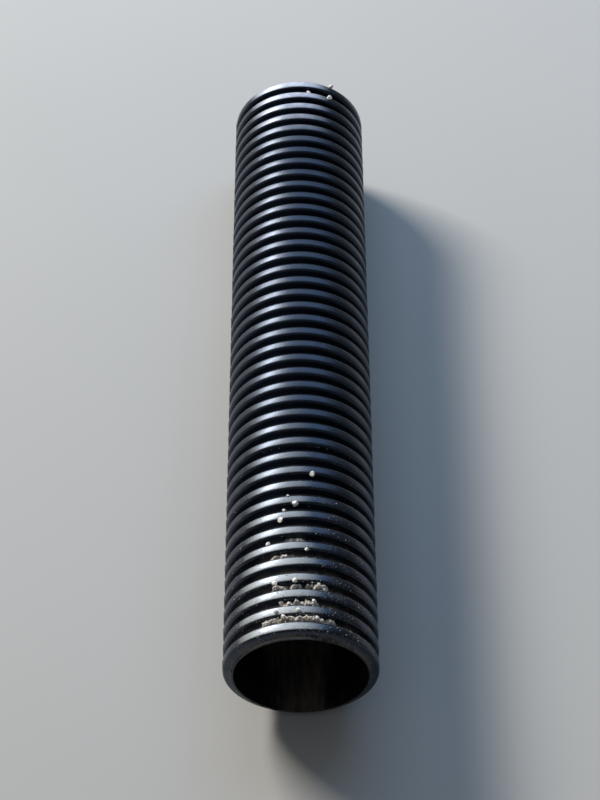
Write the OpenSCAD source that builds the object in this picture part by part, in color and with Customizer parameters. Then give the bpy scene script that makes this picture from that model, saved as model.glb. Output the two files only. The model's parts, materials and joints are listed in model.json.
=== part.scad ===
// Outlet end of a twin-wall corrugated drain pipe, held at one end and cut square at both.
// Millimetres. The pipe's axis is +Y, the origin is the centre of the bore at the held
// end, +Z is up. A smooth liner forms the bore, and a corrugated wall fused round it makes
// the pipe stiff.

/* [Pipe] */
// Clear bore of the smooth liner
bore_d = 152; // [100:1:300]
// Wall of the smooth liner
liner_t = 0.9; // [0.5:0.1:3]
// Number of corrugations from the held end to the outlet
corrugations = 42; // [4:1:60]

/* [Corrugated wall] */
// Distance from one crest to the next
pitch = 21.4; // [18:0.1:40]
// Height of a crest above the outside of the liner
corrugation_h = 11.1; // [6:0.1:14]
// Width of a crest between its sharp corners, before rounding
crest_w = 12; // [8.5:0.1:15.5]
// Thickness of the corrugated wall
wall_t = 1.1; // [0.7:0.1:2.2]
// Outside radius of a crest's shoulders
shoulder_r = 3.5; // [2.4:0.1:4.5]
// Outside radius at the foot of a side wall
foot_r = 1.5; // [0.5:0.1:2.5]
// Lean of the side walls away from square, in degrees
draft = 8; // [2:0.5:14]

/* [Hidden] */
$fn = 96;
arc_steps = 6;

pipe_len = corrugations * pitch;
bore_r = bore_d / 2;
liner_outer_r = bore_r + liner_t;
crest_r = liner_outer_r + corrugation_h;
valley_r = liner_outer_r + wall_t;

// A rounded corner starts this far from the sharp one, for each millimetre of radius
tangent_share = tan(45 - draft / 2);
// Half widths of a corrugation at its crest and at its foot, between the arcs' centres
shoulder_offset = crest_w / 2 - shoulder_r * tangent_share;
foot_offset = crest_w / 2 + (crest_r - valley_r) * tan(draft) + foot_r * tangent_share;

// Points of an arc in the section plane, which is [radius, length along the pipe]
function arc(centre, r, from, to) = [
    for (i = [0 : arc_steps])
        let (a = from + (to - from) * i / arc_steps)
        centre + r * [sin(a), cos(a)]
];

// One corrugation round the crest at y, set back by depth from the pipe's outside
function corrugation(y, depth) = concat(
    arc([valley_r + foot_r, y - foot_offset], foot_r + depth, -90, -draft),
    arc([crest_r - shoulder_r, y - shoulder_offset], shoulder_r - depth, 180 - draft, 90),
    arc([crest_r - shoulder_r, y + shoulder_offset], shoulder_r - depth, 90, draft),
    arc([valley_r + foot_r, y + foot_offset], foot_r + depth, 180 + draft, 270)
);

// One face of the corrugated wall from the held end to the outlet, cut square in a valley
function wall_face(depth) = [
    [valley_r - depth, 0],
    for (k = [1 : corrugations])
        each corrugation((k - 0.5) * pitch, depth),
    [valley_r - depth, pipe_len]
];

function reversed(points) = [for (i = [len(points) - 1 : -1 : 0]) points[i]];

// Turns a section in [radius, length] round the pipe's axis
module turned_on_axis() {
    rotate([-90, 0, 0])
        rotate_extrude()
            children();
}

module corrugated_wall() {
    color("#1b1e23")
        turned_on_axis()
            polygon(concat(wall_face(0), reversed(wall_face(wall_t))));
}

module smooth_liner() {
    color("#26292e")
        turned_on_axis()
            translate([bore_r, 0])
                square([liner_t, pipe_len]);
}

corrugated_wall();
smooth_liner();
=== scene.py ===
"""Finish of a corrugated drain outlet pipe: its two plastic walls, the marks that moulding and
sawing left on them, and the sand and dust that stuck to it near its held end.

Metres. The pipe's axis is +Y from the held end at the origin to the outlet, and +Z is up.
"""
import json
import math
import random

import bmesh
import bpy
from bpy.props import FloatProperty, FloatVectorProperty, IntProperty, PointerProperty
from mathutils import Euler, Matrix, Vector, noise


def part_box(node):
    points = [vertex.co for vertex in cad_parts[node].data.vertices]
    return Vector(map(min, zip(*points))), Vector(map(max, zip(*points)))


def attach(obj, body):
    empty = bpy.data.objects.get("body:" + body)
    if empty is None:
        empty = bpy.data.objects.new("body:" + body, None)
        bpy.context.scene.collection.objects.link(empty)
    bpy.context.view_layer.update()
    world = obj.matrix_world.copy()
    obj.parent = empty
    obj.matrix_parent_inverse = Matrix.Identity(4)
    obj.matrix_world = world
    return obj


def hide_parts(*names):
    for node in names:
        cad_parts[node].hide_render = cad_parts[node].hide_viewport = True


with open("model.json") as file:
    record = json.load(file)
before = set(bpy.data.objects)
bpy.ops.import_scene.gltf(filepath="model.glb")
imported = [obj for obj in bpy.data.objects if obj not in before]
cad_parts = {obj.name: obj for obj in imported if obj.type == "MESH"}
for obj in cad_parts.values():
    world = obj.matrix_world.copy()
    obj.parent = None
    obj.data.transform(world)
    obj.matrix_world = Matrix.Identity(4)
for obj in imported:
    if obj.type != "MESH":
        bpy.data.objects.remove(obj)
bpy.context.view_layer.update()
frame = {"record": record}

bl_info = {
    "name": "Corrugated outlet pipe",
    "version": (1, 0, 0),
    "blender": (4, 5, 0),
    "location": "View3D > Sidebar > Outlet pipe",
    "description": "Builds the finished look of a corrugated drain outlet pipe",
    "category": "Object",
}

WALL_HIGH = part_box("corrugated_wall")[1]
LINER_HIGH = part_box("smooth_liner")[1]
MOUNTS = {mount["name"]: mount for mount in frame["record"]["mounts"]}
BORE_RADIUS = MOUNTS["bore"]["dims"]["r_mm"] / 1000
CREST_RADIUS = MOUNTS["crests"]["dims"]["r_mm"] / 1000

ROOT = "root"
PIPE_AXIS = Vector((0, 1, 0))
FULL_TURN = 2 * math.pi
# Faces round each wall
ROUND_STEPS = 72
# Points closer than this are one point
TOUCH = 1e-5


# Sizes and colours that a user would change

class PipeSizes(bpy.types.PropertyGroup):
    """Sizes of the two walls, which start from the CAD frame."""

    length: FloatProperty(
        name="Length",
        description="From the held end to the outlet",
        default=WALL_HIGH.y,
        unit="LENGTH",
    )
    bore_radius: FloatProperty(
        name="Bore radius",
        description="Inside radius of the liner",
        default=BORE_RADIUS,
        unit="LENGTH",
    )
    liner_radius: FloatProperty(
        name="Liner radius",
        description="Outside radius of the liner",
        default=LINER_HIGH.x,
        unit="LENGTH",
    )
    crest_radius: FloatProperty(
        name="Crest radius",
        description="Outside radius of the pipe, over the crests",
        default=CREST_RADIUS,
        unit="LENGTH",
    )
    wall_thickness: FloatProperty(
        name="Wall thickness",
        description="Thickness of the corrugated wall",
        default=0.0011,
        unit="LENGTH",
    )
    corrugations: IntProperty(
        name="Corrugations",
        description="Number of crests",
        default=42,
        min=1,
    )
    crest_width: FloatProperty(
        name="Crest width",
        description="Width of a crest between its corners before rounding",
        default=0.012,
        unit="LENGTH",
    )
    shoulder_radius: FloatProperty(
        name="Shoulder radius",
        description="Outside radius of a crest's shoulders",
        default=0.0035,
        unit="LENGTH",
    )
    foot_radius: FloatProperty(
        name="Foot radius",
        description="Outside radius at the foot of a side wall",
        default=0.0015,
        unit="LENGTH",
    )
    draft: FloatProperty(
        name="Draft",
        description="Lean of the side walls away from square",
        default=math.radians(8),
        subtype="ANGLE",
    )
    liner_wave: FloatProperty(
        name="Liner wave",
        description="How far the liner stands out under each corrugation",
        default=0.0004,
        unit="LENGTH",
    )
    unevenness: FloatProperty(
        name="Unevenness",
        description="How far the cooled crests stray from true",
        default=0.00022,
        unit="LENGTH",
    )
    saw_wander: FloatProperty(
        name="Saw wander",
        description="How far the sawn ends stray from square",
        default=0.0004,
        unit="LENGTH",
    )


class TrimSizes(bpy.types.PropertyGroup):
    """Sizes of the mould flash and the sawing burrs."""

    seam_width: FloatProperty(
        name="Seam width",
        description="Width of the flash where the mould halves met",
        default=0.0007,
        unit="LENGTH",
    )
    seam_height: FloatProperty(
        name="Seam height",
        description="Height of the flash above the wall",
        default=0.0003,
        unit="LENGTH",
    )
    seam_angle: FloatProperty(
        name="Seam angle",
        description="Turn of the mould's parting line from the top of the pipe",
        default=math.radians(97),
        subtype="ANGLE",
    )
    burr_length: FloatProperty(
        name="Burr length",
        description="Longest tooth of the ragged edge that the saw left",
        default=0.0011,
        unit="LENGTH",
    )
    burr_root: FloatProperty(
        name="Burr root",
        description="How far inside the end face the ragged edge starts",
        default=0.0008,
        unit="LENGTH",
    )
    burr_thickness: FloatProperty(
        name="Burr thickness",
        description="Thickness of the ragged edge and of the shavings",
        default=0.00012,
        unit="LENGTH",
    )
    curls: IntProperty(
        name="Curls",
        description="Curled shavings that hang on at each sawn end",
        default=16,
        min=0,
    )


class DirtSizes(bpy.types.PropertyGroup):
    """How much sand, dust and silt lies on the pipe, and where its painted highlights fall."""

    reach: FloatProperty(
        name="Reach",
        description="How far from the held end loose sand lies",
        default=0.26,
        unit="LENGTH",
    )
    grains: IntProperty(
        name="Grains",
        description="Small sand grains near the held end",
        default=700,
        min=0,
    )
    grain_size: FloatProperty(
        name="Grain size",
        description="Width of a usual sand grain",
        default=0.0011,
        unit="LENGTH",
    )
    # This reach also bounds the painted highlight near the held end, as well as the dust and grit
    dirt_and_highlight_reach: FloatProperty(
        name="Film reach",
        description="How far from the held end the film of dust fades out",
        default=0.36,
        unit="LENGTH",
    )
    # Painted highlight: the pale film is strongest on this side, where the main lamp's highlight
    # falls, as well as being dust
    dust_and_highlight_turn: FloatProperty(
        name="Film turn",
        description="Turn from the top of the pipe of the side where most dust fell",
        default=math.radians(-18),
        subtype="ANGLE",
    )
    # Painted highlight: the pale film near the outlet is strongest on this side, where the main
    # lamp's highlight falls
    highlight_turn_at_outlet: FloatProperty(
        name="Splash turn",
        description="Turn from the top of the pipe of the side where most splashes dried",
        default=math.radians(-10),
        subtype="ANGLE",
    )
    # How far back from the outlet the painted highlight reaches
    highlight_reach_at_outlet: FloatProperty(
        name="Splash reach",
        description="How far back from the outlet the dried splashes reach",
        default=0.135,
        unit="LENGTH",
    )


class Colours(bpy.types.PropertyGroup):
    """Colours of the finishes."""

    wall: FloatVectorProperty(
        name="Wall",
        description="Black polyethylene of the corrugated wall",
        default=(0.0014, 0.0025, 0.0045),
        subtype="COLOR",
    )
    liner: FloatVectorProperty(
        name="Liner",
        description="Black polyethylene of the liner",
        default=(0.0035, 0.0042, 0.0058),
        subtype="COLOR",
    )
    sheen: FloatVectorProperty(
        name="Sheen",
        description="Tint of the plastic's reflections",
        default=(0.56, 0.71, 1.0),
        subtype="COLOR",
    )
    scuff: FloatVectorProperty(
        name="Scuff",
        description="Plastic that was scratched",
        default=(0.065, 0.069, 0.073),
        subtype="COLOR",
    )
    sawn: FloatVectorProperty(
        name="Sawn",
        description="Plastic that was sawn",
        default=(0.013, 0.0155, 0.0185),
        subtype="COLOR",
    )
    # Part dust, part painted highlight: this pale colour is laid on the lit side near the held end
    dust: FloatVectorProperty(
        name="Dust",
        description="Thin film of dust on the plastic",
        default=(0.55, 0.585, 0.585),
        subtype="COLOR",
    )
    # Painted highlight: pale colour laid on the lit side of the last crests near the outlet
    splash: FloatVectorProperty(
        name="Splash",
        description="Film that dried splashes left at the outlet",
        default=(0.58, 0.62, 0.72),
        subtype="COLOR",
    )
    silt: FloatVectorProperty(
        name="Silt",
        description="Dried silt that fills the grooves and lies in the bore",
        default=(0.25, 0.205, 0.145),
        subtype="COLOR",
    )
    sand: FloatVectorProperty(
        name="Sand",
        description="Dry sand",
        default=(0.66, 0.57, 0.44),
        subtype="COLOR",
    )
    floor: FloatVectorProperty(
        name="Floor",
        description="Plain floor under the pipe",
        default=(0.48, 0.48, 0.47),
        subtype="COLOR",
    )


class StageSizes(bpy.types.PropertyGroup):
    """The camera's place, as the photograph has it, the floor and the lamps."""

    eye_back: FloatProperty(
        name="Eye distance",
        description="How far behind the held end the camera stands",
        default=1.157,
        unit="LENGTH",
    )
    eye_height: FloatProperty(
        name="Eye height",
        description="How high above the pipe's axis the camera is",
        default=1.890,
        unit="LENGTH",
    )
    aim: FloatProperty(
        name="Aim",
        description="Where along the pipe the camera looks",
        default=0.40,
        unit="LENGTH",
    )
    roll: FloatProperty(
        name="Roll",
        description="Turn of the camera about its line of sight",
        default=math.radians(-0.222),
        subtype="ANGLE",
    )
    lens: FloatProperty(
        name="Lens",
        description="Focal length in millimetres for a 36 mm sensor",
        default=88.5,
    )
    floor_radius: FloatProperty(
        name="Floor radius",
        description="How far the floor reaches",
        default=14.0,
        unit="LENGTH",
    )
    key_distance: FloatProperty(
        name="Key distance",
        description="From the middle of the pipe to the main lamp",
        default=8.0,
        unit="LENGTH",
    )
    key_size: FloatVectorProperty(
        name="Key size",
        description="Width and height of the main lamp",
        default=(3.2, 1.6),
        size=2,
        unit="LENGTH",
    )
    key_power: FloatProperty(
        name="Key power",
        description="Power of the main lamp in watts",
        default=955,
    )
    key_colour: FloatVectorProperty(
        name="Key colour",
        description="Colour of the main lamp",
        default=(1.0, 0.95, 0.88),
        subtype="COLOR",
    )
    key_azimuth: FloatProperty(
        name="Key azimuth",
        description="Turn of the main lamp from the pipe's direction towards its left",
        default=math.radians(43),
        subtype="ANGLE",
    )
    key_elevation: FloatProperty(
        name="Key elevation",
        description="Height of the main lamp above the floor",
        default=math.radians(30.5),
        subtype="ANGLE",
    )
    fill_distance: FloatProperty(
        name="Fill distance",
        description="From the middle of the pipe to the broad lamp beyond the outlet",
        default=3.0,
        unit="LENGTH",
    )
    fill_size: FloatVectorProperty(
        name="Fill size",
        description="Width and height of the broad lamp",
        default=(3.2, 2.0),
        size=2,
        unit="LENGTH",
    )
    fill_power: FloatProperty(
        name="Fill power",
        description="Power of the broad lamp in watts",
        default=40,
    )
    fill_colour: FloatVectorProperty(
        name="Fill colour",
        description="Colour of the broad lamp",
        default=(0.42, 0.66, 1.0),
        subtype="COLOR",
    )
    fill_azimuth: FloatProperty(
        name="Fill azimuth",
        description="Turn of the broad lamp from the pipe's direction towards its left",
        default=math.radians(-12),
        subtype="ANGLE",
    )
    fill_elevation: FloatProperty(
        name="Fill elevation",
        description="Height of the broad lamp above the floor",
        default=math.radians(50),
        subtype="ANGLE",
    )
    sky: FloatProperty(
        name="Sky",
        description="Strength of the even light from all round",
        default=0.156,
    )
    sky_colour: FloatVectorProperty(
        name="Sky colour",
        description="Colour of the even light from all round",
        default=(0.90, 0.95, 1.0),
        subtype="COLOR",
    )


class OutletPipe(bpy.types.PropertyGroup):
    """All settings of the outlet pipe."""

    sizes: PointerProperty(type=PipeSizes)
    trim: PointerProperty(type=TrimSizes)
    dirt: PointerProperty(type=DirtSizes)
    colours: PointerProperty(type=Colours)
    stage: PointerProperty(type=StageSizes)


# The wall's section, in the plane of the axis and +Z

def pitch(sizes):
    """Distance from one crest to the next."""
    return sizes.length / sizes.corrugations


def valley_radius(sizes):
    """Outside radius of the wall between two corrugations."""
    return sizes.liner_radius + sizes.wall_thickness


def half_width(sizes, radius, depth):
    """Half the width of a corrugation at a radius, depth below its outside."""
    lean = (sizes.crest_radius - radius) * math.tan(sizes.draft)
    return sizes.crest_width / 2 + lean - depth / math.cos(sizes.draft)


def chain(bm, points):
    """Joins points of the section, each (radius, distance along the pipe), by edges."""
    verts = [bm.verts.new((0, along, radius)) for radius, along in points]
    for pair in zip(verts, verts[1:]):
        bm.edges.new(pair)
    return verts


def round_corners(bm, corners, radius, sizes, segments):
    """Rounds the corners between the pipe's length and a side wall."""
    bmesh.ops.bevel(
        bm,
        geom=corners,
        offset=radius * math.tan(math.pi / 4 - sizes.draft / 2),
        offset_type="OFFSET",
        segments=segments,
        profile=0.5,
        affect="VERTICES",
        material=-1,
    )


def corrugation(bm, sizes, depth, shoulder_segments, foot_segments):
    """Adds one corrugation of the wall's section, depth below its outside."""
    low = valley_radius(sizes) - depth
    high = sizes.crest_radius - depth
    middle = pitch(sizes) / 2
    foot = half_width(sizes, low, depth)
    top = half_width(sizes, high, depth)
    verts = chain(bm, [
        (low, 0),
        (low, middle - foot),
        (high, middle - top),
        (high, middle + top),
        (low, middle + foot),
        (low, 2 * middle),
    ])
    feet = [verts[1], verts[4]]
    shoulders = verts[2:4]
    round_corners(bm, feet, sizes.foot_radius + depth, sizes, foot_segments)
    round_corners(bm, shoulders, sizes.shoulder_radius - depth, sizes, shoulder_segments)


def verts_of(geometry):
    """The vertices among the geometry that an operator made."""
    return [item for item in geometry if isinstance(item, bmesh.types.BMVert)]


def repeat_along(bm, geometry, step, count):
    """Copies geometry along the pipe until there are count of it, and joins the copies."""
    for k in range(1, count):
        copy = bmesh.ops.duplicate(bm, geom=geometry)["geom"]
        bmesh.ops.translate(bm, verts=verts_of(copy), vec=PIPE_AXIS * k * step)
    bmesh.ops.remove_doubles(bm, verts=bm.verts, dist=TOUCH)


def wall_face(sizes, depth, shoulder_segments, foot_segments):
    """A bmesh of one face of the corrugated wall's section, from end to end."""
    bm = bmesh.new()
    corrugation(bm, sizes, depth, shoulder_segments, foot_segments)
    repeat_along(bm, bm.verts[:] + bm.edges[:], pitch(sizes), sizes.corrugations)
    return bm


def outer_face(sizes):
    """A bmesh of the section's outer face, whose corners show and are well rounded."""
    return wall_face(sizes, 0, shoulder_segments=5, foot_segments=3)


def inner_face(sizes):
    """A bmesh of the section's inner face, which is closed in and has simple corners."""
    return wall_face(sizes, sizes.wall_thickness, shoulder_segments=1, foot_segments=1)


def merge_into(bm, other):
    """Adds another bmesh to bm and frees it."""
    mesh = bpy.data.meshes.new("merged")
    other.to_mesh(mesh)
    other.free()
    bm.from_mesh(mesh)
    bpy.data.meshes.remove(mesh)


def close_section(bm):
    """Joins the outer and the inner face of a section at each end of the pipe."""
    loose = [v for v in bm.verts if len(v.link_edges) == 1]
    loose.sort(key=lambda v: v.co.y)
    bm.edges.new(loose[:2])
    bm.edges.new(loose[2:])


def spin_round(bm):
    """Spins a closed section round the pipe's axis into a closed shell."""
    bmesh.ops.spin(
        bm,
        geom=bm.verts[:] + bm.edges[:],
        cent=(0, 0, 0),
        axis=PIPE_AXIS,
        angle=FULL_TURN,
        steps=ROUND_STEPS,
        use_merge=True,
    )
    bmesh.ops.remove_doubles(bm, verts=bm.verts, dist=TOUCH)
    bmesh.ops.recalc_face_normals(bm, faces=bm.faces)


# Shapes that the finished surfaces share

# How wavy a ring and a sawn end are round the pipe
RING_WAVINESS = 1.4
SAWN_WAVINESS = 2.2
# Steps through the noise that give each ring and each end a shape of its own
RING_STEP = 7.31
END_STEP = 3


def around(angle, radius, along):
    """The point at a turn from the top, a radius and a distance along the pipe."""
    return Vector((radius * math.sin(angle), along, radius * math.cos(angle)))


def swell(place, per_metre):
    """Smooth noise from about -1 to 1, with so many swells a metre."""
    return noise.noise(place * per_metre)


def drawn_turn(draw, spans):
    """A turn drawn between the least and the most about X, Y and Z, in radians."""
    return Euler([draw.uniform(*span) for span in spans])


def make_uneven(bm, sizes):
    """Moves points as cooling and sawing did, the same way in both walls."""
    depth = sizes.crest_radius - sizes.liner_radius
    step = pitch(sizes)
    sawn_reach = step / 8
    for v in bm.verts:
        radius = math.hypot(v.co.x, v.co.z)
        outward = Vector((v.co.x, 0, v.co.z)) / radius
        raised = min(1, max(0, (radius - sizes.liner_radius) / depth))
        ring = math.floor(v.co.y / step)
        ring_shape = noise.noise(outward * RING_WAVINESS + PIPE_AXIS * RING_STEP * ring)
        change = raised * sizes.unevenness * (ring_shape + swell(v.co, per_metre=24))
        if min(v.co.y, sizes.length - v.co.y) < sawn_reach:
            side = 1 if v.co.y > sizes.length / 2 else -1
            wander = noise.noise(outward * SAWN_WAVINESS + PIPE_AXIS * END_STEP * side)
            v.co.y += sizes.saw_wander * wander
        v.co += outward * change


def add_piece(bm, name, finish, smooth_angle=math.radians(50)):
    """Makes an object of bm with smooth faces and sharp corners, riding on the pipe."""
    for face in bm.faces:
        face.smooth = True
    mesh = bpy.data.meshes.new(name)
    bm.to_mesh(mesh)
    bm.free()
    mesh.set_sharp_from_angle(angle=smooth_angle)
    mesh.materials.append(finish)
    piece = bpy.data.objects.new(name, mesh)
    bpy.context.scene.collection.objects.link(piece)
    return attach(piece, ROOT)


def surface_at(angle, along, reach):
    """Point and normal of the outermost surface at a turn and a place along the pipe."""
    start = around(angle, 2 * reach, along)
    hits = []
    for name in ("corrugated_wall_shell", "sand_drifts"):
        hit, point, normal, _ = bpy.data.objects[name].ray_cast(start, -around(angle, 1, 0))
        if hit:
            hits.append((point, normal))
    if not hits:
        raise RuntimeError(f"no wall under {math.degrees(angle):.0f} degrees at {along:.3f} m")
    return min(hits, key=lambda found: (found[0] - start).length)


# Finishes

# Attribute of the sand that holds how pale each grain is, from 0 to 1
TONE = "tone"
# How much of the plastic's own colour each mark hides where it is strongest, from 0 to 1
SAWN_COVER = 0.8
SCUFF_COVER = 0.6
SILT_COVER = 0.7
GRIT_COVER = 0.55
BORE_SILT_COVER = 0.42
DUST_TRACE = 0.006
# How squarely a face looks along the pipe, and how far from an end, where it shows as sawn
SAWN_FACING = (0.8, 0.95)
SAWN_FADE = (0.0010, 0.0016)
# Depths below a crest between which scuffs fade in
SCUFF_DEPTHS = (0.0022, 0.0003)
# Distance from the held end at which dust, grit and the painted highlight there start to fade
DIRT_AND_HIGHLIGHT_START = 0.03
# Distances from the held end between which the lit side with dust and painted highlight
# narrows, and how squarely a surface has to face that side to get them before and after, from 0 to
# 1
DUST_AND_HIGHLIGHT_NARROWING = (0.06, 0.16)
DUST_AND_HIGHLIGHT_FACING = (0.80, 0.87)
# How squarely a surface faces the lit side near the outlet where its painted highlight starts and
# where it is full
HIGHLIGHT_FACING_AT_OUTLET = (0.75, 0.98)
# Distances from the held end, and heights above a valley, between which its silt thins out
SILT_FADE = (0.03, 0.20)
SILT_RISE = (0.0015, 0.0065)
# Distances from the held end between which the wall's extra gloss fades out
GLOSS_FADE = (0.10, 0.32)
# Heights from the axis at which the silt in the bore starts and is thickest
BORE_SILT_LEVELS = (-0.062, -0.077)


class Finish:
    """A material that is put together from shader nodes."""

    # Colour sockets of a Mix node, which has other sockets of the same names
    MIX_FIRST = 6
    MIX_SECOND = 7
    MIX_RESULT = 2

    def __init__(self, name):
        self.material = bpy.data.materials.new(name)
        self.material.use_nodes = True
        self.tree = self.material.node_tree
        self.shader = self.tree.nodes["Principled BSDF"]
        coordinates = self.tree.nodes.new("ShaderNodeTexCoord")
        self.position = coordinates.outputs["Object"]
        self.normal = coordinates.outputs["Normal"]

    def give(self, socket, value):
        """Links a socket to value, or sets it."""
        if isinstance(value, bpy.types.NodeSocket):
            self.tree.links.new(value, socket)
        else:
            socket.default_value = value

    def node(self, kind, inputs, **settings):
        """Adds a node, with inputs by name or number and settings by name."""
        made = self.tree.nodes.new(kind)
        for key, value in settings.items():
            setattr(made, key, value)
        for key, value in inputs.items():
            self.give(made.inputs[key], value)
        return made

    def calculate(self, operation, *values):
        """The result of one operation on values."""
        inputs = dict(enumerate(values))
        return self.node("ShaderNodeMath", inputs, operation=operation).outputs[0]

    def times(self, *values):
        """The product of all values."""
        result = values[0]
        for value in values[1:]:
            result = self.calculate("MULTIPLY", result, value)
        return result

    def plus(self, *values):
        """The sum of all values."""
        result = values[0]
        for value in values[1:]:
            result = self.calculate("ADD", result, value)
        return result

    def ramp(self, value, span, levels=(0.0, 1.0)):
        """Goes smoothly from the first level to the second as value goes through span."""
        inputs = {
            "Value": value,
            "From Min": span[0],
            "From Max": span[1],
            "To Min": levels[0],
            "To Max": levels[1],
        }
        made = self.node("ShaderNodeMapRange", inputs, interpolation_type="SMOOTHSTEP")
        return made.outputs["Result"]

    def axes(self, vector):
        """The X, Y and Z of a vector."""
        return self.node("ShaderNodeSeparateXYZ", {0: vector}).outputs

    def stretched(self, scale):
        """Object coordinates with each axis scaled."""
        return self.node("ShaderNodeMapping", {"Vector": self.position, "Scale": scale}).outputs[0]

    def radius(self):
        """Distance from the pipe's axis."""
        flat = {0: self.stretched((1, 0, 1))}
        return self.node("ShaderNodeVectorMath", flat, operation="LENGTH").outputs["Value"]

    def facing(self, turn):
        """How squarely the surface faces a turn from the top of the pipe, from -1 to 1."""
        inputs = {0: self.normal, 1: (math.sin(turn), 0, math.cos(turn))}
        made = self.node("ShaderNodeVectorMath", inputs, operation="DOT_PRODUCT")
        return made.outputs["Value"]

    def noise(self, scale, detail=2.0, roughness=0.5, vector=None):
        """Smooth noise with so many features a metre."""
        inputs = {
            "Vector": vector or self.position,
            "Scale": scale,
            "Detail": detail,
            "Roughness": roughness,
        }
        return self.node("ShaderNodeTexNoise", inputs).outputs["Fac"]

    def streaks(self, scale, detail=2.0, roughness=0.5):
        """Smooth noise with its own number of features a metre along X, Y and Z."""
        return self.noise(1.0, detail, roughness, self.stretched(scale))

    def mix(self, factor, first, second):
        """A colour between two others."""
        inputs = {
            "Factor": factor,
            self.MIX_FIRST: self.colour(first),
            self.MIX_SECOND: self.colour(second),
        }
        return self.node("ShaderNodeMix", inputs, data_type="RGBA").outputs[self.MIX_RESULT]

    def colour(self, value):
        """A colour for a colour socket, from three numbers or another socket."""
        if isinstance(value, bpy.types.NodeSocket):
            return value
        return (*value, 1.0)

    def bump(self, height, depth, below=None):
        """A normal bumped by up to depth, on top of another one where given."""
        inputs = {"Height": height, "Distance": depth, "Strength": 1.0}
        if below is not None:
            inputs["Normal"] = below
        return self.node("ShaderNodeBump", inputs).outputs["Normal"]

    def shade(self, **inputs):
        """Sets the shader's inputs, named with _ for a space."""
        for key, value in inputs.items():
            self.give(self.shader.inputs[key.replace("_", " ")], value)
        return self.material


def toned(colour, share, lift=0.0):
    """A colour scaled by share, and then lifted by the same amount in each channel."""
    return tuple(share * value + lift for value in colour)


def sawn_ends(finish, sizes):
    """Where a wall's material shows its sawn end faces, from 0 to 1."""
    along = finish.axes(finish.position)["Y"]
    endward = finish.calculate("ABSOLUTE", finish.axes(finish.normal)["Y"])
    to_end = finish.calculate("MINIMUM", along, finish.calculate("SUBTRACT", sizes.length, along))
    flat = finish.ramp(endward, SAWN_FACING)
    close = finish.ramp(to_end, SAWN_FADE, (1.0, 0.0))
    return finish.times(flat, close)


def dust_and_painted_highlight(finish, dirt, along, near_held_end, upward):
    """A pale film near the held end, part dust and part painted highlight on the lit side, and a
    trace of dust on top.
    """
    patches = finish.ramp(finish.noise(26, detail=5, roughness=0.6), (0.34, 0.68))
    least_facing = finish.ramp(along, DUST_AND_HIGHLIGHT_NARROWING, DUST_AND_HIGHLIGHT_FACING)
    dust_and_highlight_side = finish.ramp(finish.facing(dirt.dust_and_highlight_turn), (least_facing, 1.0))
    thinned = finish.ramp(patches, (0, 1), (0.85, 1.0))
    powder = finish.ramp(finish.noise(1300, detail=3, roughness=0.7), (0.38, 0.62), (0.66, 1.0))
    # Pale film on the lit side near the held end: dust and painted highlight
    film = finish.times(near_held_end, dust_and_highlight_side, thinned, powder)
    trace = finish.times(upward, patches, DUST_TRACE)
    return finish.plus(film, trace)


def painted_highlight_at_outlet(finish, dirt, near_outlet):
    """Painted highlight: a pale blotchy film on the lit side of the top near the outlet."""
    lit_side_at_outlet = finish.ramp(finish.facing(dirt.highlight_turn_at_outlet), HIGHLIGHT_FACING_AT_OUTLET)
    highlight_blotches = finish.ramp(finish.noise(90, detail=4, roughness=0.6), (0.34, 0.62), (0.75, 1.0))
    return finish.times(near_outlet, lit_side_at_outlet, highlight_blotches)


def valley_silt(finish, sizes, along, radius, upward):
    """Dried silt low in the valleys near the held end."""
    rises = [valley_radius(sizes) + rise for rise in SILT_RISE]
    low = finish.ramp(radius, rises, (1.0, 0.0))
    silted = finish.ramp(along, SILT_FADE, (1.0, 0.0))
    blotches = finish.ramp(finish.noise(60, detail=4, roughness=0.6), (0.38, 0.6))
    return finish.times(low, silted, upward, blotches, SILT_COVER)


def stuck_grit(finish, near_held_end, upward):
    """Fine sand in loose clusters, where the dust is."""
    specks = finish.ramp(finish.noise(700, roughness=0.7), (0.55, 0.72))
    clusters = finish.ramp(finish.noise(45, detail=3), (0.4, 0.6))
    return finish.times(near_held_end, upward, specks, clusters, GRIT_COVER)


def scuffed_crests(finish, sizes, radius):
    """Fine scratches along the pipe, where its crests were handled."""
    depths = [sizes.crest_radius - depth for depth in SCUFF_DEPTHS]
    crest = finish.ramp(radius, depths)
    scratches = finish.streaks((620, 22, 620), detail=3, roughness=0.6)
    handled = finish.ramp(finish.noise(11, detail=3), (0.48, 0.62))
    return finish.times(finish.ramp(scratches, (0.62, 0.70)), handled, crest)


def wall_bumps(finish, silt, grit, sawn):
    """The wall's normal: moulded skin, saw marks on the ends, and crusts of dirt on top."""
    skin = finish.bump(finish.noise(1500), depth=0.00002)
    dimples = finish.bump(finish.noise(170), depth=0.00012, below=skin)
    teeth = finish.times(sawn, finish.streaks((70, 1, 1900), roughness=0.6))
    sawn_marks = finish.bump(teeth, depth=0.00015, below=dimples)
    crust = finish.plus(finish.times(silt, finish.noise(420, detail=3, roughness=0.6)), grit)
    return finish.bump(crust, depth=0.0003, below=sawn_marks)


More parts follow.
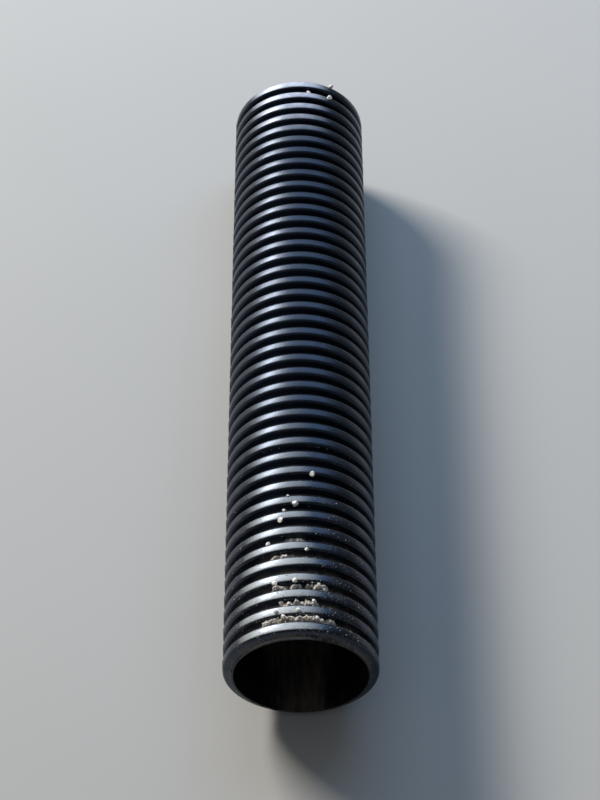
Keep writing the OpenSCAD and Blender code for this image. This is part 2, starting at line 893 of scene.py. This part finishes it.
def wall_finish(sizes, dirt, colours):
    """Semi-matt black polyethylene with scuffs, dust, silt and grit near the held end, and painted
    highlights laid as pale films near both ends.
    """
    finish = Finish("black_wall_plastic")
    along = finish.axes(finish.position)["Y"]
    upward = finish.ramp(finish.axes(finish.normal)["Z"], (-0.3, 0.9), (0.1, 1.0))
    radius = finish.radius()
    near_held_end = finish.ramp(along, (DIRT_AND_HIGHLIGHT_START, dirt.dirt_and_highlight_reach), (1.0, 0.0))
    near_outlet = finish.ramp(along, (sizes.length - dirt.highlight_reach_at_outlet, sizes.length))

    # Pale film near the held end, part dust and part painted highlight
    film = dust_and_painted_highlight(finish, dirt, along, near_held_end, upward)
    # Painted highlight on the lit side near the outlet
    splash = painted_highlight_at_outlet(finish, dirt, near_outlet)
    silt = valley_silt(finish, sizes, along, radius, upward)
    grit = stuck_grit(finish, near_held_end, upward)
    scuffs = scuffed_crests(finish, sizes, radius)
    sawn = sawn_ends(finish, sizes)

    colour = finish.mix(finish.times(scuffs, SCUFF_COVER), colours.wall, colours.scuff)
    colour = finish.mix(finish.times(sawn, SAWN_COVER), colour, colours.sawn)
    # Part dust, part painted highlight on the lit side near the held end
    colour = finish.mix(film, colour, colours.dust)
    # Painted highlight on the lit side near the outlet
    colour = finish.mix(splash, colour, colours.splash)
    colour = finish.mix(silt, colour, colours.silt)
    colour = finish.mix(grit, colour, colours.sand)

    # Glossier near both ends, and rougher under dirt and wear
    roughness = finish.plus(
        finish.ramp(finish.noise(42, detail=3, roughness=0.55), (0.3, 0.7), (0.36, 0.44)),
        finish.ramp(along, GLOSS_FADE, (-0.09, 0.0)),
        finish.times(near_outlet, -0.07),
        finish.times(silt, 0.5),
        finish.times(grit, 0.4),
        finish.times(scuffs, 0.06),
        finish.times(sawn, 0.16),
    )
    return finish.shade(
        Base_Color=colour,
        Roughness=roughness,
        Specular_IOR_Level=0.69,
        Specular_Tint=(*colours.sheen, 1.0),
        Normal=wall_bumps(finish, silt, grit, sawn),
    )


def bore_silt(finish):
    """Rippled silt with a ragged edge, which lies along the bottom of the bore."""
    raggedness = finish.streaks((55, 9, 55), detail=4, roughness=0.6)
    height = finish.axes(finish.position)["Z"]
    level = finish.plus(height, finish.ramp(raggedness, (0.3, 0.7), (-0.008, 0.008)))
    ripples = finish.streaks((190, 26, 190), detail=4, roughness=0.6)
    rippled = finish.ramp(ripples, (0.3, 0.7), (0.45, 1.0))
    return finish.times(finish.ramp(level, BORE_SILT_LEVELS), rippled, BORE_SILT_COVER)


def liner_finish(sizes, colours):
    """Satin black polyethylene with fine lines drawn along it, and silt along the bottom."""
    finish = Finish("black_liner_plastic")
    silt = bore_silt(finish)
    sawn = finish.times(sawn_ends(finish, sizes), SAWN_COVER)
    colour = finish.mix(sawn, colours.liner, colours.sawn)
    roughness = finish.ramp(finish.noise(36, detail=3), (0.3, 0.7), (0.34, 0.44))
    lines = finish.streaks((430, 3, 430), detail=3, roughness=0.6)
    drawn = finish.bump(lines, depth=0.00005)
    return finish.shade(
        Base_Color=finish.mix(silt, colour, colours.silt),
        Roughness=finish.plus(roughness, finish.times(silt, 0.7)),
        Specular_IOR_Level=0.5,
        Specular_Tint=(*colours.sheen, 1.0),
        Normal=finish.bump(finish.noise(900), depth=0.00002, below=drawn),
    )


def cut_finish(colours):
    """Torn polyethylene of flash and burrs, a little paler than the moulded skin."""
    finish = Finish("torn_plastic")
    tone = finish.ramp(finish.noise(800, detail=3, roughness=0.6), (0.35, 0.65))
    torn = toned(colours.wall, share=2.2, lift=0.0125)
    return finish.shade(
        Base_Color=finish.mix(tone, colours.wall, torn),
        Roughness=finish.ramp(tone, (0, 1), (0.45, 0.6)),
        Specular_IOR_Level=0.5,
        Normal=finish.bump(finish.noise(2400, roughness=0.6), depth=0.00003),
    )


def sand_finish(colours):
    """Dry sand, each grain with its own tone, of which the palest are smooth as quartz."""
    finish = Finish("dry_sand")
    tone = finish.node("ShaderNodeAttribute", {}, attribute_name=TONE).outputs["Fac"]
    fine = finish.noise(2600, detail=3, roughness=0.6)
    coarse = finish.noise(420, detail=3, roughness=0.6)
    mottled = finish.plus(tone, finish.ramp(coarse, (0.35, 0.65), (-0.2, 0.15)))
    dark = toned(colours.sand, share=0.45)
    pale = toned(colours.sand, share=0.38, lift=0.56)
    grain = finish.mix(finish.calculate("MAXIMUM", mottled, 0.0), dark, pale)
    quartz = finish.ramp(tone, (0.97, 1.0))
    rough_grain = finish.bump(coarse, depth=0.0004)
    return finish.shade(
        Base_Color=finish.mix(finish.ramp(fine, (0.35, 0.7), (0.0, 0.3)), grain, colours.sand),
        Roughness=finish.ramp(quartz, (0, 1), (0.9, 0.4)),
        Specular_IOR_Level=0.5,
        Normal=finish.bump(fine, depth=0.00012, below=rough_grain),
    )


def floor_finish(colours):
    """Plain pale floor."""
    finish = Finish("plain_floor")
    tone = finish.ramp(finish.noise(3), (0.3, 0.7))
    return finish.shade(
        Base_Color=finish.mix(tone, toned(colours.floor, share=0.985), colours.floor),
        Roughness=0.9,
        Specular_IOR_Level=0.1,
    )


def finish_of(name, make, colours):
    """The named material, made at its first use."""
    return bpy.data.materials.get(name) or make(colours)


# Pieces

class OUTLETPIPE_OT_corrugated_wall(bpy.types.Operator):
    """Make the corrugated outer wall"""

    bl_idname = "outlet_pipe.corrugated_wall"
    bl_label = "Corrugated wall"

    def execute(self, context):
        """Spins the rounded section, with its thickness, into one shell."""
        pipe = context.scene.outlet_pipe
        sizes = pipe.sizes
        bm = outer_face(sizes)
        merge_into(bm, inner_face(sizes))
        close_section(bm)
        spin_round(bm)
        make_uneven(bm, sizes)
        finish = wall_finish(sizes, pipe.dirt, pipe.colours)
        piece = add_piece(bm, "corrugated_wall_shell", finish)
        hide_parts("corrugated_wall")
        return {"FINISHED"}


# Faces of the liner's bore along each corrugation
LINER_STEPS = 6


class OUTLETPIPE_OT_liner(bpy.types.Operator):
    """Make the smooth liner"""

    bl_idname = "outlet_pipe.liner"
    bl_label = "Smooth liner"

    def execute(self, context):
        """Spins the liner, whose inside swells a little under each corrugation."""
        pipe = context.scene.outlet_pipe
        sizes = pipe.sizes
        bm = bmesh.new()
        inner = chain(bm, [(sizes.bore_radius, 0), (sizes.bore_radius, sizes.length)])
        bmesh.ops.subdivide_edges(
            bm,
            edges=inner[0].link_edges[:],
            cuts=LINER_STEPS * sizes.corrugations - 1,
        )
        for v in bm.verts:
            phase = FULL_TURN * v.co.y / pitch(sizes)
            v.co.z += sizes.liner_wave * (1 - math.cos(phase)) / 2
        chain(bm, [(sizes.liner_radius, 0), (sizes.liner_radius, sizes.length)])
        close_section(bm)
        spin_round(bm)
        make_uneven(bm, sizes)
        piece = add_piece(bm, "liner_shell", liner_finish(sizes, pipe.colours))
        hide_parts("smooth_liner")
        return {"FINISHED"}


class OUTLETPIPE_OT_mould_seams(bpy.types.Operator):
    """Make the flash along the mould's parting lines"""

    bl_idname = "outlet_pipe.mould_seams"
    bl_label = "Mould seams"

    def execute(self, context):
        """Widens the outer section into a ribbon, thickens it and sets one on each side."""
        pipe = context.scene.outlet_pipe
        trim = pipe.trim
        bm = outer_face(pipe.sizes)
        swept = bmesh.ops.extrude_edge_only(bm, edges=bm.edges[:])["geom"]
        bmesh.ops.translate(bm, verts=verts_of(swept), vec=(trim.seam_width, 0, 0))
        bmesh.ops.translate(bm, verts=bm.verts, vec=(-trim.seam_width / 2, 0, trim.seam_height))
        bmesh.ops.recalc_face_normals(bm, faces=bm.faces)
        bmesh.ops.solidify(bm, geom=bm.faces[:], thickness=2 * trim.seam_height)
        bmesh.ops.recalc_face_normals(bm, faces=bm.faces)
        first = bm.verts[:] + bm.edges[:] + bm.faces[:]
        second = bmesh.ops.duplicate(bm, geom=first)["geom"]
        for geometry, turn in ((first, trim.seam_angle), (second, trim.seam_angle + math.pi)):
            matrix = Matrix.Rotation(turn, 3, PIPE_AXIS)
            bmesh.ops.rotate(bm, verts=verts_of(geometry), matrix=matrix)
        make_uneven(bm, pipe.sizes)
        piece = add_piece(bm, "mould_seams", finish_of("torn_plastic", cut_finish, pipe.colours))
        return {"FINISHED"}


# How far under the skin of a wall its torn edge stands
FRINGE_INSET = 0.00016
# Points round a torn edge
FRINGE_STEPS = 180
# Teeth a metre of the torn edge, coarse and fine, and how much the fine ones add
COARSE_TEETH = 260
FINE_TEETH = 900
FINE_SHARE = 0.5
# Step through the noise that the coarse teeth start from
TEETH_STEP = 9
# Shortest and longest shaving, narrowest and widest, and how far they roll up in radians
CURL_LENGTHS = (0.002, 0.0055)
CURL_WIDTHS = (0.00025, 0.0006)
CURL_ROLLS = (1.5, 5.0)
# Least and most turn of a shaving about X, Y and Z, in radians
CURL_TURNS = ((-0.5, 0.9), (-1.4, 1.4), (-0.9, 0.9))
# How far inside the end face a shaving starts, and the share of its width lost at its tip
CURL_ROOT = 0.0003
CURL_TAPER = 0.7


class OUTLETPIPE_OT_saw_burrs(bpy.types.Operator):
    """Make the ragged edge and shavings that the saw left at both ends"""

    bl_idname = "outlet_pipe.saw_burrs"
    bl_label = "Saw burrs"

    def execute(self, context):
        """Raises a ragged fringe round each rim and hangs curled shavings on it."""
        pipe = context.scene.outlet_pipe
        sizes = pipe.sizes
        bm = bmesh.new()
        for end, side in ((0, -1), (sizes.length, 1)):
            add_fringe(bm, valley_radius(sizes) - FRINGE_INSET, end, side, pipe.trim)
            add_fringe(bm, sizes.bore_radius + FRINGE_INSET, end, side, pipe.trim)
            add_curls(bm, sizes, end, side, pipe.trim)
        bmesh.ops.recalc_face_normals(bm, faces=bm.faces)
        piece = add_piece(bm, "saw_burrs", finish_of("torn_plastic", cut_finish, pipe.colours))
        return {"FINISHED"}


def add_fringe(bm, radius, end, side, trim):
    """Adds a thin ring at a sawn edge, whose free edge is torn into short teeth."""
    ring = bmesh.new()
    bmesh.ops.create_circle(ring, segments=FRINGE_STEPS, radius=radius, cap_ends=False)
    bmesh.ops.rotate(ring, verts=ring.verts, matrix=Matrix.Rotation(math.pi / 2, 3, "X"))
    bmesh.ops.translate(ring, verts=ring.verts, vec=PIPE_AXIS * (end - side * trim.burr_root))
    swept = bmesh.ops.extrude_edge_only(ring, edges=ring.edges[:])["geom"]
    for v in verts_of(swept):
        coarse = noise.noise(v.co * COARSE_TEETH + PIPE_AXIS * TEETH_STEP)
        tear = coarse + FINE_SHARE * swell(v.co, FINE_TEETH)
        v.co.y += side * (trim.burr_root + trim.burr_length * max(0, tear))
    bmesh.ops.recalc_face_normals(ring, faces=ring.faces)
    bmesh.ops.solidify(ring, geom=ring.faces[:], thickness=trim.burr_thickness)
    merge_into(bm, ring)


def add_curls(bm, sizes, end, side, trim):
    """Hangs curled shavings on the rim at one end."""
    draw = random.Random(f"curls {side}")
    for _ in range(trim.curls):
        angle = draw.uniform(0, FULL_TURN)
        radius = draw.choice((sizes.bore_radius, valley_radius(sizes)))
        add_curl(bm, draw, around(angle, radius, end), angle, side, trim.burr_thickness)


def add_curl(bm, draw, foot, angle, side, thickness):
    """Adds one shaving: a narrow strip, rolled up and turned, that starts at foot."""
    curl = bmesh.new()
    bmesh.ops.create_grid(curl, x_segments=7, y_segments=1, size=0.5)
    length = draw.uniform(*CURL_LENGTHS)
    width = draw.uniform(*CURL_WIDTHS)
    roll = draw.uniform(*CURL_ROLLS)
    for v in curl.verts:
        along = v.co.x + 0.5
        bend = roll * along
        taper = 1 - CURL_TAPER * along
        v.co = Vector((
            v.co.y * width * taper,
            length * math.sin(bend) / roll,
            length * (1 - math.cos(bend)) / roll,
        ))
    bmesh.ops.solidify(curl, geom=curl.faces[:], thickness=thickness)
    turn = drawn_turn(draw, CURL_TURNS)
    if side < 0:
        turn.z += math.pi
    matrix = Matrix.Rotation(angle, 4, PIPE_AXIS) @ turn.to_matrix().to_4x4()
    matrix = Matrix.Translation(foot - PIPE_AXIS * side * CURL_ROOT) @ matrix
    bmesh.ops.transform(curl, matrix=matrix, verts=curl.verts)
    merge_into(bm, curl)


# Sand that lies in a valley, as (valley counted from the held end, degrees from the top
# at one end, degrees at the other, height in millimetres)
SAND_DRIFTS = (
    (1, -34, 30, 10.5),
    (2, -17, 15, 10.5),
    (3, -23, -10, 11.0),
    (3, -9, 1, 11.0),
    (3, 3, 23, 10.5),
    (5, -26, -4, 6.0),
    (6, -14, 4, 4.5),
)
# Size of a drift's faces round the pipe, and how many of them lie across a valley
DRIFT_CELL = 0.0008
DRIFT_ROWS = 14
# Width of a drift as a share of the valley's, so that its rim dips into both sides
DRIFT_WIDTH = 1.25
# Power that makes a drift's ends steep, and share of its height lost at a valley's sides
DRIFT_END_POWER = 6
DRIFT_SIDE_DROP = 0.4
# Usual height of a drift's mounds, as a share of its full height
DRIFT_LEVEL = 0.72
# Clods on a drift, as (clods a metre, share of the drift's full height)
CLODS = ((330, 0.24), (800, 0.10))
# Usual tone of a drift, and how far it strays from that
DRIFT_TONE = 0.6
DRIFT_MOTTLING = 0.5


class OUTLETPIPE_OT_sand_drifts(bpy.types.Operator):
    """Make the sand that fills the valleys near the held end"""

    bl_idname = "outlet_pipe.sand_drifts"
    bl_label = "Sand drifts"

    def execute(self, context):
        """Lays a low uneven ridge in each valley that holds sand."""
        pipe = context.scene.outlet_pipe
        bm = bmesh.new()
        bm.verts.layers.float.new(TONE)
        for valley, start, end, height in SAND_DRIFTS:
            add_drift(bm, pipe.sizes, valley, math.radians(start), math.radians(end), height / 1000)
        bmesh.ops.recalc_face_normals(bm, faces=bm.faces)
        add_piece(bm, "sand_drifts", finish_of("dry_sand", sand_finish, pipe.colours))
        return {"FINISHED"}


def add_drift(bm, sizes, valley, start, end, height):
    """Adds a ridge of sand in a valley, whose rim dips into the wall all round."""
    steps = round((end - start) * sizes.crest_radius / DRIFT_CELL)
    made = bmesh.ops.create_grid(bm, x_segments=steps, y_segments=DRIFT_ROWS, size=1)
    layer = bm.verts.layers.float[TONE]
    middle = valley * pitch(sizes)
    half_valley = pitch(sizes) / 2 - half_width(sizes, valley_radius(sizes), 0)
    sunk = sizes.wall_thickness / 3
    for v in made["verts"]:
        round_pipe, across = v.co.x, v.co.y
        angle = start + (end - start) * (round_pipe + 1) / 2
        place = around(angle, sizes.crest_radius, middle + across * half_valley)
        cover = (1 - round_pipe ** DRIFT_END_POWER) * (1 - DRIFT_SIDE_DROP * across ** 2)
        radius = valley_radius(sizes) - sunk + height * cover * drift_relief(place)
        v.co = around(angle, radius, middle + across * DRIFT_WIDTH * half_valley)
        v[layer] = DRIFT_TONE + DRIFT_MOTTLING * swell(place, per_metre=300)
    faces = dict.fromkeys(face for v in made["verts"] for face in v.link_faces)
    bmesh.ops.solidify(bm, geom=list(faces), thickness=sunk)


def drift_relief(place):
    """Height of a drift's mounds and clods at a place, as a share of its full height."""
    mounds = min(1, max(0, DRIFT_LEVEL + swell(place, per_metre=130)))
    return mounds + sum(share * swell(place, per_metre) for per_metre, share in CLODS)


# Crumbs of sand that show singly, as (valley, degrees from the top, width in millimetres)
CRUMBS = (
    (8.23, -4, 8.4),
    (3.24, -19, 7.2),
    (7.235, -15, 7.4),
    (3.26, -4, 7.0),
    (10.235, 9, 7.6),
    (41.72, 29.5, 8.0),
    (40.58, 27.5, 8.0),
    (5.77, -24.5, 6.0),
    (7.76, -12, 5.2),
    (40.80, 9, 6.0),
    (5.24, 4.5, 5.0),
    (2.93, 17.5, 5.2),
    (3.20, 13.5, 4.6),
    (3.16, 8.5, 5.0),
    (2.12, -15, 5.8),
    (2.08, 10, 5.2),
    (2.02, 1.5, 5.2),
    (1.95, -0.5, 4.6),
    (1.45, -18, 5.4),
    (1.43, -2, 5.0),
    (1.10, -13, 5.8),
    (1.07, 11.5, 5.6),
    (8.72, -9.5, 3.4),
)
# How many sides broke off each crumb, and how far from its middle, as a share of its width
BROKEN_FACES = 9
BROKEN_AT = (0.32, 0.44)
# Pits a metre on a crumb, and how deep they are as a share of its size
CRUMB_PITS = 700
CRUMB_PIT_DEPTH = 0.16
# Steps through the noise for each metre, which give crumbs at different places their own pits
CRUMB_STEPS = 1000
# Closest that a crumb lies to the outlet, and a loose grain to the held end
CRUMB_MARGIN = 0.002
GRAIN_MARGIN = 0.001
# Grains on each degree of a drift, and how far they stray from its middle
DRIFT_GRAINS = 3.5
DRIFT_STRAY = 0.0018
# How far loose grains stray from the top in radians, and how steeply they thin out
LOOSE_STRAY = 0.6
LOOSE_THINNING = 3
# Widths of the grains on a drift, and least and most of a loose one, as shares of a usual one
DRIFT_GRAIN_WIDTHS = (0.7, 0.9, 1.2, 1.6, 2.2)
LOOSE_GRAIN_WIDTHS = (0.35, 1.35)
# Least and most tone of a grain on a drift and of a loose one
DRIFT_GRAIN_TONES = (0.35, 1)
LOOSE_GRAIN_TONES = (0.3, 1)
# Least and most turn of a grain and of a crumb about X, Y and Z, in radians
GRAIN_TURNS = ((0, 6), (0, 6), (0, 6))
CRUMB_TURNS = ((-0.25, 0.05), (-0.2, 0.2), (0, 6))
# Least and most width and height of a grain and of a crumb, as shares of its length
GRAIN_SHAPES = ((0.6, 0.95), (0.5, 0.8))
CRUMB_SHAPES = ((0.8, 1), (0.6, 0.75))
# How far the middle of a grain and of a crumb is off the surface, and how much farther a
# crumb's is from the axis, as shares of its length
GRAIN_LIFT = 0.18
CRUMB_LIFT = 0.15
CRUMB_RISE = 0.12
# How far the corners of a grain stray in and out, as a share of its size
GRAIN_ROUGHNESS = 0.22


class OUTLETPIPE_OT_sand_grains(bpy.types.Operator):
    """Make the loose sand grains and crumbs on the pipe"""

    bl_idname = "outlet_pipe.sand_grains"
    bl_label = "Sand grains"

    def execute(self, context):
        """Sets crumbs on the wall, and angular grains on the drifts and near the held end."""
        pipe = context.scene.outlet_pipe
        bm = bmesh.new()
        bm.verts.layers.float.new(TONE)
        add_crumbs(bm, random.Random("crumbs"), pipe.sizes)
        draw = random.Random("sand")
        add_drift_grains(bm, draw, pipe.sizes, pipe.dirt)
        add_loose_grains(bm, draw, pipe.sizes, pipe.dirt)
        bmesh.ops.recalc_face_normals(bm, faces=bm.faces)
        finish = finish_of("dry_sand", sand_finish, pipe.colours)
        add_piece(bm, "sand_grains", finish, smooth_angle=math.radians(25))
        return {"FINISHED"}


def add_crumbs(bm, draw, sizes):
    """Sets each crumb in its place on the pipe."""
    for valley, degrees, width in CRUMBS:
        along = min(valley * pitch(sizes), sizes.length - CRUMB_MARGIN)
        add_crumb(bm, draw, sizes, math.radians(degrees), along, width / 1000)


def add_drift_grains(bm, draw, sizes, dirt):
    """Strews grains of all sizes over the drifts."""
    for valley, start, end, _ in SAND_DRIFTS:
        for _ in range(round(DRIFT_GRAINS * (end - start))):
            angle = math.radians(draw.uniform(start, end))
            along = valley * pitch(sizes) + draw.gauss(0, DRIFT_STRAY)
            width = dirt.grain_size * draw.choice(DRIFT_GRAIN_WIDTHS)
            add_grain(bm, draw, sizes, angle, along, width, draw.uniform(*DRIFT_GRAIN_TONES))


def add_loose_grains(bm, draw, sizes, dirt):
    """Strews small grains over the top of the pipe, thickest near the held end."""
    for _ in range(dirt.grains):
        inward = draw.expovariate(LOOSE_THINNING / dirt.reach)
        along = min(dirt.reach, inward) + GRAIN_MARGIN
        angle = draw.gauss(0, LOOSE_STRAY)
        width = dirt.grain_size * draw.uniform(*LOOSE_GRAIN_WIDTHS)
        add_grain(bm, draw, sizes, angle, along, width, draw.uniform(*LOOSE_GRAIN_TONES))


def tumbled(draw, turns, shapes):
    """A matrix that turns and flattens a grain or a crumb as drawn."""
    turn = drawn_turn(draw, turns)
    shape = Matrix.Diagonal((1, *(draw.uniform(*span) for span in shapes), 1))
    return turn.to_matrix().to_4x4() @ shape


def add_grain(bm, draw, sizes, angle, along, width, tone):
    """Adds one angular grain, sunk a little into what it lies on."""
    point, normal = surface_at(angle, along, sizes.crest_radius)
    centre = point + normal * width * GRAIN_LIFT
    matrix = Matrix.Translation(centre) @ tumbled(draw, GRAIN_TURNS, GRAIN_SHAPES)
    made = bmesh.ops.create_icosphere(bm, subdivisions=1, radius=width / 2, matrix=matrix)
    layer = bm.verts.layers.float[TONE]
    for v in made["verts"]:
        v.co += (v.co - centre) * draw.uniform(-GRAIN_ROUGHNESS, GRAIN_ROUGHNESS)
        v[layer] = tone


def add_crumb(bm, draw, sizes, angle, along, width):
    """Adds one pale flattish crumb that lies level on the wall or the sand."""
    point, normal = surface_at(angle, along, sizes.crest_radius)
    crumb = bmesh.new()
    layer = crumb.verts.layers.float.new(TONE)
    bmesh.ops.create_icosphere(crumb, subdivisions=3, radius=width / 2)
    for _ in range(BROKEN_FACES):
        break_off(crumb, draw, width)
    for v in crumb.verts:
        v.co *= 1 + CRUMB_PIT_DEPTH * noise.noise(v.co * CRUMB_PITS + point * CRUMB_STEPS)
        v[layer] = 1.0
    centre = point + normal * width * CRUMB_LIFT + around(angle, width * CRUMB_RISE, 0)
    matrix = Matrix.Translation(centre) @ Matrix.Rotation(angle, 4, PIPE_AXIS)
    matrix = matrix @ tumbled(draw, CRUMB_TURNS, CRUMB_SHAPES)
    bmesh.ops.transform(crumb, matrix=matrix, verts=crumb.verts)
    merge_into(bm, crumb)


def break_off(crumb, draw, width):
    """Cuts one side off a crumb, as where it broke, and closes the cut."""
    facing = Vector((draw.gauss(0, 1), draw.gauss(0, 1), draw.gauss(0, 1))).normalized()
    cut = bmesh.ops.bisect_plane(
        crumb,
        geom=crumb.verts[:] + crumb.edges[:] + crumb.faces[:],
        plane_co=facing * width * draw.uniform(*BROKEN_AT),
        plane_no=facing,
        clear_outer=True,
    )["geom_cut"]
    rim = [item for item in cut if isinstance(item, bmesh.types.BMEdge)]
    broken = bmesh.ops.edgeloop_fill(crumb, edges=rim)["faces"]
    bmesh.ops.triangulate(crumb, faces=broken)


# Width of the camera's sensor in millimetres
SENSOR_WIDTH = 36


class OUTLETPIPE_OT_stage(bpy.types.Operator):
    """Make the floor, the lamps and the camera"""

    bl_idname = "outlet_pipe.stage"
    bl_label = "Stage"

    def execute(self, context):
        """Lays a plain floor, lights it softly and stands the camera where the photo has it."""
        pipe = context.scene.outlet_pipe
        add_floor(pipe)
        add_lamps(context.scene, pipe.sizes, pipe.stage)
        light_all_round(context.scene, pipe.stage)
        add_camera(context.scene, pipe.stage)
        context.scene.view_settings.view_transform = "Standard"
        return {"FINISHED"}


def add_floor(pipe):
    """Lays a round floor that the crests touch."""
    bm = bmesh.new()
    bmesh.ops.create_circle(bm, cap_ends=True, segments=96, radius=pipe.stage.floor_radius)
    bmesh.ops.translate(bm, verts=bm.verts, vec=(0, 0, -pipe.sizes.crest_radius))
    mesh = bpy.data.meshes.new("floor")
    bm.to_mesh(mesh)
    bm.free()
    mesh.materials.append(floor_finish(pipe.colours))
    floor = bpy.data.objects.new("floor", mesh)
    bpy.context.scene.collection.objects.link(floor)


def add_lamps(scene, sizes, stage):
    """Hangs two large soft lamps that point at the middle of the pipe."""
    middle = Vector((0, sizes.length / 2, 0))
    key = add_lamp(scene, "key", stage.key_size, stage.key_power, stage.key_colour)
    aim_lamp(key, middle, stage.key_distance, stage.key_azimuth, stage.key_elevation)
    fill = add_lamp(scene, "fill", stage.fill_size, stage.fill_power, stage.fill_colour)
    aim_lamp(fill, middle, stage.fill_distance, stage.fill_azimuth, stage.fill_elevation)


def add_lamp(scene, name, size, power, colour):
    """Makes one rectangular lamp."""
    data = bpy.data.lights.new(name, "AREA")
    data.shape = "RECTANGLE"
    data.size, data.size_y = size
    data.energy = power
    data.color = colour
    lamp = bpy.data.objects.new(name, data)
    scene.collection.objects.link(lamp)
    return lamp


def aim_lamp(lamp, target, distance, azimuth, elevation):
    """Puts a lamp at a distance from target, in a direction, and points it there."""
    towards = Vector((
        -math.sin(azimuth) * math.cos(elevation),
        math.cos(azimuth) * math.cos(elevation),
        math.sin(elevation),
    ))
    lamp.location = target + towards * distance
    lamp.rotation_euler = (-towards).to_track_quat("-Z", "Y").to_euler()


def light_all_round(scene, stage):
    """Sets the even light from all round."""
    world = scene.world or bpy.data.worlds.new("even_light")
    scene.world = world
    world.use_nodes = True
    background = world.node_tree.nodes["Background"]
    background.inputs["Color"].default_value = (*stage.sky_colour, 1.0)
    background.inputs["Strength"].default_value = stage.sky


def add_camera(scene, stage):
    """Stands the camera where the photograph was taken from."""
    data = bpy.data.cameras.new("camera")
    data.sensor_width = SENSOR_WIDTH
    data.lens = stage.lens
    camera = bpy.data.objects.new("camera", data)
    camera.location = (0, -stage.eye_back, stage.eye_height)
    sight = Vector((0, stage.aim, 0)) - camera.location
    turn = sight.to_track_quat("-Z", "Y").to_matrix() @ Matrix.Rotation(stage.roll, 3, "Z")
    camera.rotation_euler = turn.to_euler()
    scene.collection.objects.link(camera)
    scene.camera = camera


class OUTLETPIPE_PT_panel(bpy.types.Panel):
    """Lists the pieces of the outlet pipe"""

    bl_label = "Outlet pipe"
    bl_idname = "OUTLETPIPE_PT_panel"
    bl_space_type = "VIEW_3D"
    bl_region_type = "UI"
    bl_category = "Outlet pipe"

    def draw(self, context):
        """Shows a button for each operator."""
        for operator in OPERATORS:
            self.layout.operator(operator.bl_idname)


OPERATORS = (
    OUTLETPIPE_OT_corrugated_wall,
    OUTLETPIPE_OT_liner,
    OUTLETPIPE_OT_mould_seams,
    OUTLETPIPE_OT_saw_burrs,
    OUTLETPIPE_OT_sand_drifts,
    OUTLETPIPE_OT_sand_grains,
    OUTLETPIPE_OT_stage,
)
GROUPS = (PipeSizes, TrimSizes, DirtSizes, Colours, StageSizes, OutletPipe)
CLASSES = (*GROUPS, *OPERATORS, OUTLETPIPE_PT_panel)


def register():
    """Registers the classes and the settings on the scene."""
    for cls in CLASSES:
        bpy.utils.register_class(cls)
    bpy.types.Scene.outlet_pipe = PointerProperty(type=OutletPipe)


def unregister():
    """Takes the settings and the classes away again."""
    del bpy.types.Scene.outlet_pipe
    for cls in reversed(CLASSES):
        bpy.utils.unregister_class(cls)


def main():
    """Makes every piece."""
    register()
    bpy.ops.outlet_pipe.corrugated_wall()
    bpy.ops.outlet_pipe.liner()
    bpy.ops.outlet_pipe.mould_seams()
    bpy.ops.outlet_pipe.saw_burrs()
    bpy.ops.outlet_pipe.sand_drifts()
    bpy.ops.outlet_pipe.sand_grains()
    bpy.ops.outlet_pipe.stage()


if __name__ == "__main__":
    main()
